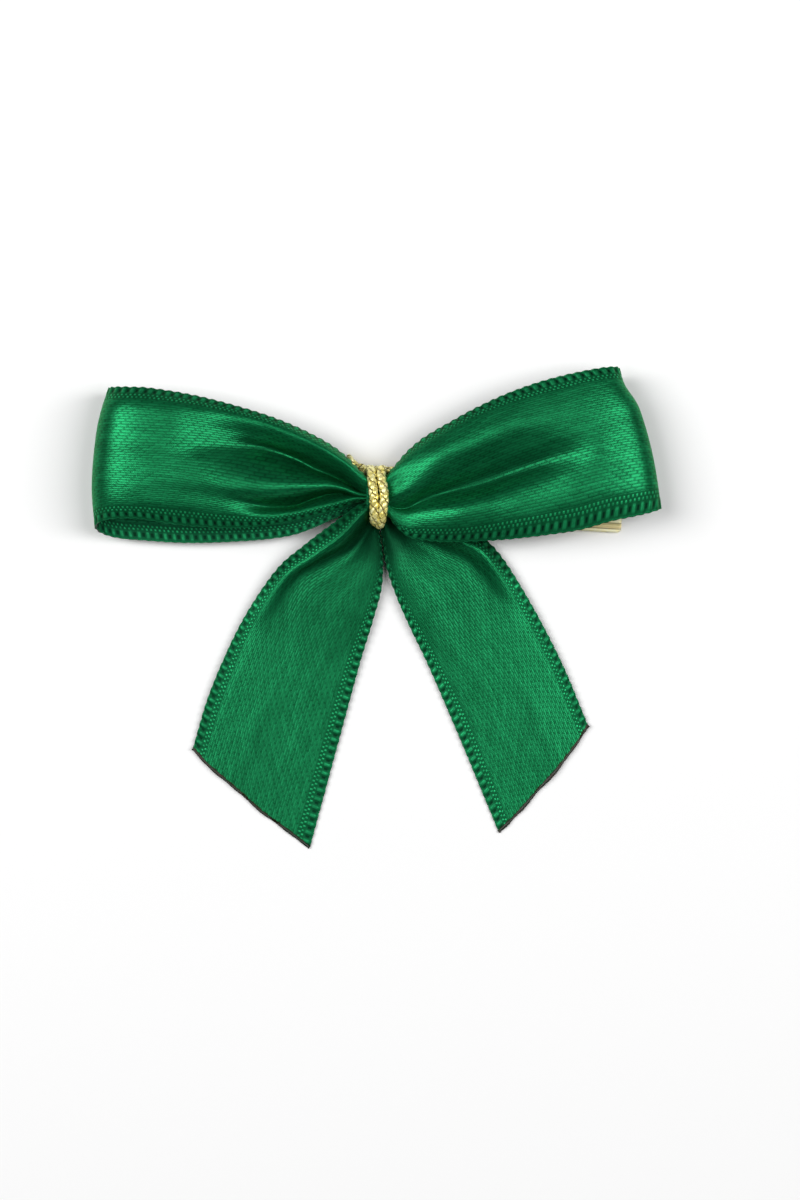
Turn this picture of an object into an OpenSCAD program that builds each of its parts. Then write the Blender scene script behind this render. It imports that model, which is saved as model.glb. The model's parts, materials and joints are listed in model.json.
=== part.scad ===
// Pre-made gift bow: a satin ribbon with two loops and two tails, gathered by two turns of
// metallic cord, with a wired foil twist tie held under the cord at the back.
// Millimetres. The bow lies on its back on z = 0, loops to -x and +x, tails to -y.
// The origin is on the resting plane, straight behind the middle of the knot.

/* [Ribbon] */
// Width of the ribbon, from selvedge to selvedge
ribbon_w = 15; // [14:0.5:16]
// Thickness of the ribbon
ribbon_t = 0.3; // [0.2:0.05:0.35]
// How far each loop reaches out from the middle of the knot
loop_reach = 30.9; // [30:0.1:32]
// Height of the left loop's rounded end, measured over both plies
left_loop_h = 6.8; // [6.5:0.1:7]
// Height of the right loop's rounded end, measured over both plies
right_loop_h = 5.6; // [5.5:0.1:6]
// Length of each tail from its gather to its long corner
tail_l = 33.3; // [30:0.1:36]
// How much shorter a tail is at its outer edge than at its inner edge
tail_slant = 5.5; // [3:0.1:8]

/* [Knot] */
// Width of the gathered bundle where the cord squeezes it
bundle_d = 4.6; // [4.5:0.1:4.8]
// Diameter of the metallic cord
cord_d = 1.05; // [0.9:0.05:1.1]

/* [Twist tie] */
// Width of the foil strip
tie_w = 2; // [1.8:0.1:2]
// Diameter of the soft wire inside it
wire_d = 0.4; // [0.3:0.05:0.4]
// Length of each bendable step of a leg
tie_step = 4.8; // [4.5:0.1:5]
// Number of steps in each leg
tie_steps = 5; // [5:1:5]

/* [Hidden] */
$fn = 48;
gap = 0.02; // between pieces that touch in the real bow
foil_t = 0.1; // one layer of the laminated strip
wire_wall = 0.1; // foil over the wire
ridge_r = wire_d / 2 + wire_wall;
bend_gap = 0.15; // each step of the tie stops this far from its bending line
width_k = ribbon_w / 15; // the outlines are drawn for a 15 mm ribbon

// Heights, from the resting plane up: cord, tie, bundle, cord
ring_r = bundle_d / 2 + gap + cord_d / 2;
ring_z = ring_r + cord_d / 2;
tie_z = cord_d + gap + ridge_r + 0.05;
bundle_z = tie_z + ridge_r + gap;
bundle_half = 1.3; // half the bundle's length along x
cord_knot_r = 0.95;
cord_knot_at = [-2.05, 2.9, 0.97]; // behind the bundle's upper side

// The tie runs slightly down to the right, and its legs slope down to the resting plane
tie_turn = -6.3;
tie_hinge = 2.6;
tie_slope = atan((tie_z - ridge_r) / (tie_hinge + tie_steps * tie_step));

// Gathers: round bundles about which the loops and tails flex
loop_gather_x = 3;
loop_gather_r = 1.35;
loop_gather_w = 4.6;
loop_gather_z = ring_z;
tail_gather_x = 2.6;
tail_gather_y = -4.3;
tail_gather_r = 0.85;
tail_gather_w = 3.4;
tail_gather_z = 1.65;

// Loops: [turn of the fold, bulge, lift of the back ply, front outline, back outline]
// An outline is [upper edge, lower edge], and an edge is [start, rise, ease, slope].
fold_z = 1.05; // the underside of each rounded end
left_upper = [1.2, 10.9, 9.5, 0];
right_upper = [1.4, 14.2, 11, 0];
left_loop = [3.2, 1.0, 0.3, [left_upper, [-0.2, -3.0, 4.0, 0]], [left_upper, [-0.2, -4.9, 4.5, 0]]];
right_loop = [15.6, 1.2, 0.3, [right_upper, [0, -5.6, 2.6, 0.17]], [right_upper, [0, -5.3, 2.6, 0.17]]];

// Tails: [direction, outer edge, inner edge]
left_tail_shape = [-111.8, [2.4, 5.4, 6, 0], [-3.7, 0, 1, -0.12]];
right_tail_shape = [-60, [2.4, 5.6, 3.5, -0.03], [-2.2, 0, 1, -0.14]];
tail_flat_from = 20; // from here to its end a tail lies flat

curve_steps = 14;

// ---- curves ----

// Distance of an outline's edge from the middle line, r along it
function edge(e, r) = width_k * (e[0] + e[1] * (1 - exp(-r / e[2])) + e[3] * max(0, r - 6));

function ease(s) = 1 - pow(1 - s, 2);

// Height of a ply's middle: from start to end as s goes from 0 to 1, with a bulge between
function ply_z(start, end, bulge, s) = start + (end - start) * ease(s) + bulge * sin(180 * s);

// A closed outline between two edges, out to reach
function between(upper, lower, from, reach) = concat(
    [for (i = [0:curve_steps]) let (r = from + (reach - from) * i / curve_steps) [r, edge(upper, r)]],
    [for (i = [curve_steps:-1:0]) let (r = from + (reach - from) * i / curve_steps) [r, edge(lower, r)]]
);

// A thin band about a line of [x, z] points
function band(line) = concat(
    [for (p = line) [p[0], p[1] + ribbon_t / 2]],
    [for (i = [len(line) - 1:-1:0]) [line[i][0], line[i][1] - ribbon_t / 2]]
);

// Extrudes a profile drawn in x and z, half of it to each side of y = 0
module across(width) {
    rotate([90, 0, 0]) linear_extrude(width, center = true) children();
}

// ---- knot ----

module knot_gather() {
    color("#0b6a3f")
        difference() {
            translate([0, 0, ring_z]) rotate([0, 90, 0]) cylinder(h = 2 * bundle_half, d = bundle_d, center = true);
            translate([-bundle_half - 1, -bundle_d, bundle_z - bundle_d])
                cube([2 * bundle_half + 2, 2 * bundle_d, bundle_d]);
        }
}

// One turn of the cord round the bundle and the tie
module cord_turn(x) {
    color("#d8c878")
        translate([x, 0, ring_z]) rotate([0, 90, 0]) rotate_extrude() translate([ring_r, 0]) circle(d = cord_d);
}

module cord_knot() {
    color("#cbb765") translate(cord_knot_at) sphere(cord_knot_r);
}

module cord_end(start, direction, length) {
    color("#d8c878") translate(start) rotate([0, 90, direction]) cylinder(h = length, d = cord_d * 0.95);
}

// ---- twist tie ----

// Half of the strip's section, drawn in y and z: flange and the foil over the wire
module foil_section(width, side) {
    difference() {
        union() {
            translate([-width / 2, side > 0 ? 0 : -foil_t]) square([width, foil_t]);
            circle(ridge_r);
        }
        circle(wire_d / 2);
        translate([-width / 2, side > 0 ? -width : 0]) square([width, width]);
    }
}

module foil(from, to, side) {
    color("#e3d79a")
        translate([from, 0, side * gap / 2]) rotate([90, 0, 90]) linear_extrude(to - from) foil_section(tie_w, side);
}

module wire(from, to) {
    color("silver") translate([from, 0, 0]) rotate([0, 90, 0]) cylinder(h = to - from, r = wire_d / 2 - gap);
}

// Places a step of the tie: the middle lies level, and the legs slope down from their hinges
module tie_frame(side) {
    translate([0, 0, tie_z]) rotate([0, 0, tie_turn + (side < 0 ? 180 : 0)]) translate([tie_hinge, 0, 0])
        rotate([0, tie_slope, 0]) children();
}

module tie_middle_frame() {
    translate([0, 0, tie_z]) rotate([0, 0, tie_turn]) children();
}

module tie_middle_foil(side) {
    tie_middle_frame() foil(-tie_hinge + bend_gap, tie_hinge - bend_gap, side);
}

module tie_middle_wire() {
    tie_middle_frame() wire(-tie_hinge + bend_gap, tie_hinge - bend_gap);
}

module tie_leg(side, step, layer) {
    from = (step - 1) * tie_step + bend_gap;
    to = step * tie_step - (step < tie_steps ? bend_gap : 0);
    tie_frame(side) {
        if (layer == "foil_front") foil(from, to, 1);
        if (layer == "foil_back") foil(from, to, -1);
        if (layer == "wire") wire(from, to);
    }
}

// ---- loops ----

module loop_gather() {
    color("#0b6a3f")
        translate([loop_gather_x, 0, loop_gather_z]) rotate([90, 0, 0])
            cylinder(h = loop_gather_w, r = loop_gather_r, center = true);
}

// What a ply of the loop may fill in plan: its outline, clear of the gather
module loop_room(outline) {
    difference() {
        linear_extrude(20) polygon(between(outline[0], outline[1], loop_gather_x, loop_reach + 5));
        translate([loop_gather_x, 0, loop_gather_z]) rotate([90, 0, 0])
            cylinder(h = 3 * ribbon_w, r = loop_gather_r + gap, center = true);
    }
}

function fold_middle(loop, height) = loop_reach * cos(loop[0]) - height / 2 + (loop[0] > 10 ? 0.6 : 0);

// One ply, level across the ribbon, from the gather to the fold
module loop_ply(loop, height, top) {
    reach = fold_middle(loop, height) - gap;
    start_z = loop_gather_z + (top ? 0.7 : -0.7);
    end_z = fold_z + (top ? height - ribbon_t / 2 : ribbon_t / 2);
    bulge = top ? loop[1] : loop[2];
    line = [for (i = [0:curve_steps]) let (s = i / curve_steps)
        [loop_gather_x - 1 + (reach - loop_gather_x + 1) * s, ply_z(start_z, end_z, bulge, s)]];
    color("#0e7a49") intersection() {
        rotate([0, 0, loop[0]]) across(4 * ribbon_w) polygon(band(line));
        loop_room(loop[top ? 3 : 4]);
    }
}

// The rounded end that joins the two plies
module loop_fold(loop, height) {
    color("#0e7a49") intersection() {
        rotate([0, 0, loop[0]]) translate([fold_middle(loop, height), 0, fold_z + height / 2])
            across(4 * ribbon_w) difference() {
                circle(height / 2);
                circle(height / 2 - ribbon_t);
                translate([-height, -height]) square([height, 2 * height]);
            }
        loop_room(loop[3]);
    }
}

// ---- tails ----

module tail_frame(side, shape) {
    translate([side * tail_gather_x, tail_gather_y, 0]) rotate([0, 0, shape[0]]) children();
}

module tail_gather(side, shape) {
    color("#0b6a3f")
        tail_frame(side, shape) translate([0, 0, tail_gather_z]) rotate([90, 0, 0])
            cylinder(h = tail_gather_w, r = tail_gather_r, center = true);
}

function tail_z(u) = u > tail_flat_from
    ? ribbon_t / 2
    : ribbon_t / 2 + (tail_gather_z - ribbon_t / 2) * (1 + cos(180 * u / tail_flat_from)) / 2;

// The tail's outer edge is on the side away from the other tail
module tail(side, shape) {
    outer_l = tail_l - tail_slant;
    outer = [for (i = [0:curve_steps]) let (u = outer_l * i / curve_steps) [u, side * edge(shape[1], u)]];
    inner = [for (i = [curve_steps:-1:0]) let (u = tail_l * i / curve_steps) [u, side * edge(shape[2], u)]];
    line = [for (i = [0:curve_steps]) let (u = tail_flat_from * i / curve_steps) [u, tail_z(u)]];
    color("#0e7a49") tail_frame(side, shape) difference() {
        intersection() {
            across(4 * ribbon_w) polygon(band(concat(line, [[tail_l + 1, ribbon_t / 2]])));
            linear_extrude(10, center = true) polygon(concat(outer, inner));
        }
        translate([0, 0, tail_gather_z]) rotate([90, 0, 0])
            cylinder(h = 3 * ribbon_w, r = tail_gather_r + gap, center = true);
    }
}

// ---- the bow ----

module on_left() {
    mirror([1, 0, 0]) children();
}

knot_gather();
cord_turn(-cord_d / 2 - gap / 2);  // cord_turn_left
cord_turn(cord_d / 2 + gap / 2);  // cord_turn_right
cord_knot();
cord_end([-2.78, 3.54, 0.97], 139, 1.1);  // cord_end_long
cord_end([-1.05, 2.9, 0.55], -1, 3.4);  // cord_end_short

tie_middle_foil(1);  // tie_middle_foil_front
tie_middle_foil(-1);  // tie_middle_foil_back
tie_middle_wire();
for (side = ["left", "right"], n = [1:tie_steps], layer = ["foil_front", "foil_back", "wire"])
    tie_leg(side == "left" ? -1 : 1, n, layer);

on_left() loop_gather();  // left_loop_gather
on_left() loop_ply(left_loop, left_loop_h, true);  // left_loop_front
on_left() loop_fold(left_loop, left_loop_h);  // left_loop_fold
on_left() loop_ply(left_loop, left_loop_h, false);  // left_loop_back
loop_gather();  // right_loop_gather
loop_ply(right_loop, right_loop_h, true);  // right_loop_front
loop_fold(right_loop, right_loop_h);  // right_loop_fold
loop_ply(right_loop, right_loop_h, false);  // right_loop_back

tail_gather(-1, left_tail_shape);  // left_tail_gather
tail(-1, left_tail_shape);  // left_tail
tail_gather(1, right_tail_shape);  // right_tail_gather
tail(1, right_tail_shape);  // right_tail
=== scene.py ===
import json
import math
import bmesh
import bpy
import numpy as np
from mathutils import Matrix, Vector


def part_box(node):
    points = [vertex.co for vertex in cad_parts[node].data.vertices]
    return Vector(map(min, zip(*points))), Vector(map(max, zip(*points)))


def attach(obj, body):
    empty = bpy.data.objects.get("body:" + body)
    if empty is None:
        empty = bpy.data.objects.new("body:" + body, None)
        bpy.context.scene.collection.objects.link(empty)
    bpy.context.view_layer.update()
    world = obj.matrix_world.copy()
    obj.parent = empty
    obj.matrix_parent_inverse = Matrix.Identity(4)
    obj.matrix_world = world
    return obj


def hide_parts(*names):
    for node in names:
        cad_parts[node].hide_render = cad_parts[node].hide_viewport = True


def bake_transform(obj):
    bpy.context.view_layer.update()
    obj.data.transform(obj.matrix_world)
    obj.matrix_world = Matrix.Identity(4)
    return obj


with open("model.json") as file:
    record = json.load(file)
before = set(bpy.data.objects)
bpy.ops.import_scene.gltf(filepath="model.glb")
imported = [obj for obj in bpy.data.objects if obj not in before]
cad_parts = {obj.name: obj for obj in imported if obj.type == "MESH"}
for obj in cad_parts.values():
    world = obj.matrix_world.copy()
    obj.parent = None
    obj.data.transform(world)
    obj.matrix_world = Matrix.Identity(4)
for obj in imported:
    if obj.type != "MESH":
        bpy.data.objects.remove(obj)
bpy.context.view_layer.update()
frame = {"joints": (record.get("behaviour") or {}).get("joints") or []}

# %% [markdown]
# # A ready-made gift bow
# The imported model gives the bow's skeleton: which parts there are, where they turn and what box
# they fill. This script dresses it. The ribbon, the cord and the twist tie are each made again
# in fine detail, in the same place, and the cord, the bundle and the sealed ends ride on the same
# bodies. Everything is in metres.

MM = 0.001

# %% [markdown]
# ## The camera
# The bow lies on its back and is seen from straight above, so the camera looks down the Z axis
# with +Y up. A long lens from 40 cm keeps the nearer loops from looking too big.

# %% Camera
view_centre = Vector((2.39, -11.2, 0)) * MM
view_height = 130.4 * MM
camera_distance = 0.40

camera_data = bpy.data.cameras.new("camera")
camera_data.sensor_fit = "VERTICAL"
camera_data.sensor_height = 36
camera_data.lens = 36 * camera_distance / view_height
camera_data.clip_start = 0.01
camera = bpy.data.objects.new("camera", camera_data)
camera.location = view_centre + Vector((0, 0, camera_distance))
bpy.context.scene.collection.objects.link(camera)
bpy.context.scene.camera = camera
print("lens", round(camera_data.lens, 1), "mm")

# %% [markdown]
# ## Smooth curves through a few given points
# Every fold of the ribbon is described by a handful of points. A cubic through them, whose slope
# at each point follows its two neighbours, gives the soft line that cloth has.

# %% Smooth curve


def smooth_curve(at, values, where):
    """Reads a smooth curve through values, given at the places in at, off at the places in where."""
    at, values, where = (np.asarray(a, float) for a in (at, values, where))
    slope = np.gradient(values, at, axis=0)
    i = np.clip(np.searchsorted(at, where) - 1, 0, len(at) - 2)
    step = at[i + 1] - at[i]
    t = (where - at[i]) / step
    if values.ndim > 1:
        t, step = (a.reshape(a.shape + (1,) * (values.ndim - 1)) for a in (t, step))
    return (
        (2 * t**3 - 3 * t**2 + 1) * values[i] + (t**3 - 2 * t**2 + t) * step * slope[i]
        + (3 * t**2 - 2 * t**3) * values[i + 1] + (t**3 - t**2) * step * slope[i + 1]
    )


def even_steps(line, count):
    """Places of count points at even distances along a line of points."""
    lengths = np.linalg.norm(np.diff(line, axis=0), axis=1)
    travelled = np.concatenate([[0], np.cumsum(lengths)])
    return np.interp(np.linspace(0, travelled[-1], count), travelled, np.arange(len(line)))


# %% [markdown]
# ## How a ribbon is made here
# A real bow is one flat ribbon, pleated where the cord squeezes it. The pleats are sharp beside
# the cord and die out towards the ends of the loops and tails. A cloth simulation would pleat the
# ribbon in its own way each time. Here the folds are wanted in given places, so each one is drawn
# as a line that runs from the knot outwards: the two edges, the crests and the valleys. A flat
# grid is then laid over those lines, and its UV map keeps the place of each point on the flat
# ribbon, in units of 10 cm, so that the weave and the selvedges follow the folds.

# %% Ribbon sizes
flat_width = 15
ribbon_width = flat_width * MM
ribbon_thickness = 0.2 * MM
selvedge_pitch = 0.95 * MM
uv_unit = 0.1

edge_places = np.array([0, 0.08, 0.2, 0.36, 0.56, 0.78, 1.02, 1.28, 1.56]) * MM
middle_places = np.linspace(edge_places[-1], ribbon_width - edge_places[-1], 41)[1:-1]
where_across = np.concatenate([edge_places, middle_places, ribbon_width - edge_places[::-1]])
cells_across = len(where_across) - 1
print("cells across the ribbon:", cells_across)

# %% [markdown]
# The selvedge is woven tighter than the middle: its crossing thread turns back once a millimetre,
# so the rim is slightly scalloped and a ladder of small bars stands up along it. Both show in
# outline and in relief, so they are made in the mesh, by moving the grid's outer columns.

# %% The selvedge's relief
bar_height = 0.055 * MM
scallop_depth = 0.025 * MM
bars_reach = 0.95 * MM
bars_fade = bars_reach / 4
second_column_share = 0.6


def unit(vectors):
    return vectors / np.maximum(np.linalg.norm(vectors, axis=-1, keepdims=True), 1e-12)


def outward_directions(points):
    """Where the shiny side faces at each point: upwards over most of the piece's upper half."""
    outwards = unit(np.cross(np.gradient(points, axis=0), np.gradient(points, axis=1)))
    upper_half = points[..., 2] > np.median(points[..., 2])
    return outwards * math.copysign(1, outwards[upper_half][:, 2].sum())


def raise_selvedges(points, along):
    """Lifts the bars of both selvedges out of the cloth and pushes its rim out beside each of them."""
    inward = np.minimum(where_across, ribbon_width - where_across)[:, None]
    bars = np.cos(2 * math.pi * along / selvedge_pitch)
    near_rim = np.clip((bars_reach - inward) / bars_fade, 0, 1)
    raised = points + outward_directions(points) * (bar_height * bars * near_rim)[..., None]
    for rim, second, inner in ((0, 1, 3), (-1, -2, -4)):
        push = unit(points[rim] - points[inner]) * (scallop_depth * bars[rim])[:, None]
        raised[rim] += push
        raised[second] += push * second_column_share
    return raised


# %% [markdown]
# The bottom of a tight pleat and the cloth tucked under the knot are darker on a real bow than soft
# lights make them here, so shade is painted into them. Each point keeps, in an attribute, how much
# painted shade it gets, from 0 to 1, and the material deepens its colour by it. A point is in a pleat
# if the cloth on both sides of it stands higher. A tail also gets a little painted shade all over,
# which stands for threads that lean away from the light.

# %% How much painted shade each point gets
pleat_reach = 1.7 * MM
deep_pleat = 0.75 * MM
pleat_depth_share = 0.5
under_knot = np.array((0.9, -4.0)) * MM
under_knot_reach = 3.9 * MM


def cloth_at(points, places):
    """The cloth at other places across the ribbon."""
    places = np.clip(places, 0, ribbon_width)
    right = np.clip(np.searchsorted(where_across, places), 1, cells_across)
    left_place, right_place = where_across[right - 1], where_across[right]
    share = ((places - left_place) / (right_place - left_place))[:, None, None]
    return points[right - 1] * (1 - share) + points[right] * share


# Painted shade for each point: deepest in pleats and under the knot, plus a given share all over.
def painted_shade_amount(points, shade_under_knot, painted_tail_shade):
    beside = [cloth_at(points, where_across + step) for step in (-pleat_reach, pleat_reach)]
    depth = np.sum(((beside[0] + beside[1]) / 2 - points) * outward_directions(points), axis=-1)
    pleat = np.clip(depth / deep_pleat, 0, 1)
    from_knot = np.linalg.norm(points[..., :2] - under_knot, axis=-1) / under_knot_reach
    return np.clip(pleat_depth_share * pleat + shade_under_knot * np.exp(-from_knot**2) + painted_tail_shade, 0, 1)


# %% Points on the folds
path_samples = 400


def points_from_net(net, across, rows):
    """Lays points over a net of points: net[line][station], with each line's place across."""
    net = np.asarray(net, float)
    stations = np.arange(net.shape[1])
    middle = smooth_curve(stations, net[len(net) // 2], np.linspace(0, stations[-1], path_samples))
    where_along = even_steps(middle, rows + 1) * stations[-1] / (path_samples - 1)
    lines = smooth_curve(stations, np.swapaxes(net, 0, 1), where_along)
    return smooth_curve(across, np.swapaxes(lines, 0, 1), where_across)


def distances_along(points, steady_row):
    """How far along its own thread each point is; the threads are level at the steady row."""
    steps = np.linalg.norm(np.diff(points, axis=1), axis=2)
    along = np.concatenate([np.zeros((len(points), 1)), np.cumsum(steps, axis=1)], axis=1)
    return along - along[:, [steady_row]] + along[:, steady_row].mean()


# %% Grids and finished pieces


def laid_grid(shape, columns, rows):
    """Adds a flat grid, and gives each of its vertices with its column and its row."""
    made = bmesh.ops.create_grid(shape, x_segments=columns, y_segments=rows, size=0.5)["verts"]
    return [(v, round((v.co.x + 0.5) * columns), round((v.co.y + 0.5) * rows)) for v in made]


def keep_places(faces, uv_map, places):
    for face in faces:
        for corner in face.loops:
            corner[uv_map].uv = places[corner.vert]


def finished(name, shape):
    """Turns a bmesh into a smooth-shaded object at the origin."""
    mesh = bpy.data.meshes.new(name)
    shape.to_mesh(mesh)
    shape.free()
    mesh.shade_smooth()
    piece = bpy.data.objects.new(name, mesh)
    bpy.context.scene.collection.objects.link(piece)
    return piece


# %% A ribbon from its folds


def cloth_from_net(name, net, across, rows, steady_row=0, shade_under_knot=0.0, painted_tail_shade=0.0):
    """A flat grid bent to the folds, with its place on the flat ribbon and to the cut in UV maps."""
    points = points_from_net(net, across, rows)
    along = distances_along(points, steady_row)
    # Painted shade, kept in an attribute that the material reads.
    painted_shade = painted_shade_amount(points, shade_under_knot, painted_tail_shade)
    points = raise_selvedges(points, along)
    to_cut = along[:, [-1]] - along

    shape = bmesh.new()
    ribbon_map = shape.loops.layers.uv.new("ribbon")
    cut_map = shape.loops.layers.uv.new("cut")
    painted_shade_layer = shape.verts.layers.float.new("painted_shade")
    flat_places, cut_places = {}, {}
    for vertex, column, row in laid_grid(shape, cells_across, rows):
        flat_places[vertex] = (where_across[column] / uv_unit, along[column, row] / uv_unit)
        cut_places[vertex] = (where_across[column] / uv_unit, to_cut[column, row] / uv_unit)
        vertex[painted_shade_layer] = painted_shade[column, row]
        vertex.co = points[column, row]
    keep_places(shape.faces, ribbon_map, flat_places)
    keep_places(shape.faces, cut_map, cut_places)

    shape.normal_update()
    steady_height = np.median(points[..., 2])
    front = [face for face in shape.faces if face.verts[0].co.z > steady_height]
    if sum(face.normal.z for face in front) < 0:
        bmesh.ops.reverse_faces(shape, faces=shape.faces)
    piece = finished(name, shape)
    area = sum(face.area for face in piece.data.polygons)
    print(name, "area", round(area / MM**2), "mm2, length", round(along.max() / MM, 1), "mm")
    return piece, along, points


def give_thickness(piece, thickness=ribbon_thickness):
    """The shiny face keeps the first material, the back takes the second and the rim the third."""
    wall = piece.modifiers.new("thickness", "SOLIDIFY")
    wall.thickness = thickness
    wall.offset = 0
    wall.use_even_offset = False
    wall.material_offset = 1
    wall.material_offset_rim = 2


# %% [markdown]
# ## The folds of the loops
# Each line below gives its place across the flat ribbon and a few points: how far out from the
# knot, how far up the page, and how high above the table, in millimetres. The upper edge comes
# first. Crests are high and valleys low, and by the end of the loop all of them are level.

# %% Left loop's folds
left_front = [
    (0.0, [(0.3, 1.2, 4.9), (1.2, 1.9, 4.6), (3.6, 4.3, 4.5), (8.5, 7.2, 5.0), (15, 9.5, 5.7),
         (21.5, 11.0, 6.3), (24.6, 11.45, 6.5)]),
    (2.2, [(0.3, 1.0, 5.2), (1.2, 1.7, 5.5), (3.6, 3.6, 5.9), (8.5, 6.3, 6.2), (13, 7.8, 6.3),
         (17, 8.7, 6.9), (21.5, 9.4, 7.6), (24.8, 9.7, 7.7)]),
    (4.4, [(0.3, 0.6, 5.1), (1.2, 0.9, 5.2), (3.6, 2.6, 5.0), (8.5, 4.9, 5.2), (12.5, 6.1, 5.4),
         (16, 6.7, 6.4), (20, 7.2, 7.5), (23, 7.4, 7.9), (25, 7.5, 7.9)]),
    (6.4, [(0.3, 0.2, 4.8), (1.3, 0.15, 4.5), (2.4, 0.7, 3.3), (3.9, 1.6, 2.9), (7.2, 2.9, 3.1),
         (10.1, 4.2, 3.8), (12, 4.6, 4.6), (14, 4.8, 5.6), (16, 4.9, 6.4), (18, 5.0, 7.0),
         (21.5, 5.0, 7.8), (25.1, 5.1, 8.0)]),
    (7.6, [(0.3, 0.15, 5.1), (1.3, 0.1, 5.0), (2.6, 0.5, 4.7), (3.9, 1.2, 4.9), (7.2, 1.9, 5.8),
         (11.3, 2.4, 6.6), (15, 3.2, 7.0), (18.5, 3.6, 7.6), (22, 3.8, 7.9), (25.15, 3.9, 8.0)]),
    (9.2, [(0.3, 0.0, 5.2), (1.3, 0.0, 5.1), (2.6, 0.25, 5.1), (3.9, 0.75, 5.5), (7.2, 0.7, 6.5),
         (11.3, 0.4, 7.2), (15, 0.9, 7.5), (18.5, 1.7, 7.9), (22, 2.2, 8.0), (25.25, 2.4, 8.0)]),
    (11.0, [(0.3, -0.15, 4.8), (1.3, -0.2, 4.5), (2.7, 0.0, 3.6), (3.9, 0.3, 3.2), (7.2, -0.3, 3.3),
         (9.5, -1.1, 3.9), (12, -1.0, 5.4), (15, -0.5, 6.8), (19, 0.2, 7.6), (22, 0.5, 7.8),
         (25.3, 0.7, 7.9)]),
    (13.0, [(0.3, -0.2, 4.9), (1.3, -0.3, 4.9), (2.1, -0.25, 4.9), (4.2, -0.6, 5.0), (7.2, -1.3, 5.3),
         (11.3, -2.1, 6.0), (17, -1.7, 7.0), (21.5, -1.2, 7.5), (25.4, -0.9, 7.6)]),
    (15.0, [(0.3, -0.4, 4.5), (1.3, -0.5, 4.2), (2.1, -0.6, 4.2), (4.2, -1.3, 4.5), (7.2, -2.2, 4.9),
         (11.3, -3.1, 5.5), (17.2, -3.45, 6.2), (21.5, -3.1, 6.6), (25.5, -2.5, 6.9)]),
]
left_back_upper = [(0.3, 1.0, 3.0), (1.3, 1.6, 2.6), (4, 4.6, 2.4), (8.5, 7.2, 1.9), (15, 9.6, 1.6),
    (22, 11.0, 1.4), (27, 11.4, 1.4)]
left_back_lower = [(0.3, -0.6, 2.6), (1.3, -1.0, 2.5), (4.1, -2.1, 2.6), (8.5, -4.0, 2.4),
    (15, -4.85, 2.1), (23.7, -4.9, 1.8), (27, -4.6, 1.9)]

# %% Right loop's folds
right_front = [
    (0.0, [(0.3, 1.4, 4.8), (1.2, 2.4, 4.5), (3.5, 5.0, 4.4), (7.8, 7.85, 5.0), (13.3, 10.65, 5.5),
         (19.8, 12.8, 5.9), (21.6, 13.2, 6.0)]),
    (2.2, [(0.3, 1.1, 5.2), (1.2, 2.0, 5.3), (3.5, 4.1, 5.5), (7.8, 6.7, 6.0), (13.3, 9.1, 6.3),
         (19.8, 10.9, 6.6), (22.0, 11.5, 6.6)]),
    (4.6, [(0.3, 0.6, 5.1), (1.2, 1.0, 5.1), (3.2, 2.2, 5.8), (6, 3.7, 6.5), (10, 5.4, 6.7),
         (15, 7.4, 6.8), (20.5, 8.8, 6.9), (22.5, 9.3, 6.9)]),
    (7.0, [(0.3, 0, 5.1), (1.2, -0.1, 5.2), (3.2, 0.3, 5.7), (6, 1.5, 5.7), (10, 3.0, 5.5),
         (15, 5.0, 5.9), (21, 6.6, 6.8), (23, 7.0, 6.9)]),
    (9.0, [(0.3, -0.6, 4.8), (1.2, -1.0, 4.6), (2.2, -1.3, 4.2), (5.3, -0.2, 4.2), (7.3, 0.35, 4.3),
         (11.4, 1.4, 4.5), (14.5, 2.5, 4.8), (17.4, 3.5, 5.3), (19.5, 4.1, 5.9), (21.5, 4.6, 6.5),
         (23.5, 5.0, 6.9)]),
    (11.0, [(0.3, -0.9, 4.7), (1.2, -1.3, 4.6), (2.5, -1.9, 4.6), (5.5, -1.6, 5.3), (8.5, -1.2, 6.1),
         (10.5, -0.8, 6.3), (14, 0.3, 6.1), (17, 1.1, 6.3), (22, 2.4, 6.8), (24, 2.9, 6.9)]),
    (13.0, [(0.3, -1.3, 4.5), (1.2, -1.9, 4.6), (2.5, -3.0, 4.6), (5.5, -3.2, 5.2), (8.5, -3.1, 5.9),
         (11, -2.8, 6.1), (14, -2.2, 6.1), (17, -1.6, 6.3), (22, -0.5, 6.7), (24.4, 0.2, 6.8)]),
    (15.0, [(0.3, -1.6, 4.1), (1.2, -2.2, 4.1), (2.6, -3.9, 4.2), (5.5, -4.8, 4.4), (8.5, -4.9, 4.7),
         (12, -4.8, 5.0), (18.2, -4.2, 5.5), (22, -3.6, 5.8), (25.0, -2.75, 6.0)]),
]
right_back_upper = [(0.3, 1.0, 3.0), (1.3, 1.8, 2.6), (4, 4.9, 2.4), (8, 7.7, 2.2), (13.3, 10.1, 2.0),
    (19.8, 12.0, 1.8), (26, 13.5, 1.6)]
right_back_lower = [(0.3, -0.8, 2.6), (1.3, -1.6, 2.4), (3.5, -3.4, 2.6), (6.7, -4.3, 2.6),
    (12, -4.1, 2.4), (19.8, -3.2, 2.0), (29.6, -0.9, 1.6)]

# %% [markdown]
# The rounded end joins the front to the back. Each line goes round half an ellipse, from its last
# point on the front to the matching one on the back. The back of a loop is hardly seen, so its
# lines are only spread between its two edges, with a few shallow pleats beside the knot.

# %% A loop from its folds
out_shares = np.array([0.012, 0.045, 0.09, 0.14, 0.2, 0.27, 0.36, 0.48, 0.62, 0.75, 0.87])
end_steps = 11
back_pleats, back_pleat_height, back_pleat_fade = 3.5, 0.55, 6


def back_at(upper, lower, share, r):
    """How far up and how high the back is, at a share of the way between its edges."""
    top, bottom = (smooth_curve(edge[:, 0], edge[:, 1:], min(r, edge[-1, 0]))
                   for edge in (np.array(upper), np.array(lower)))
    return top * (1 - share) + bottom * share


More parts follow.
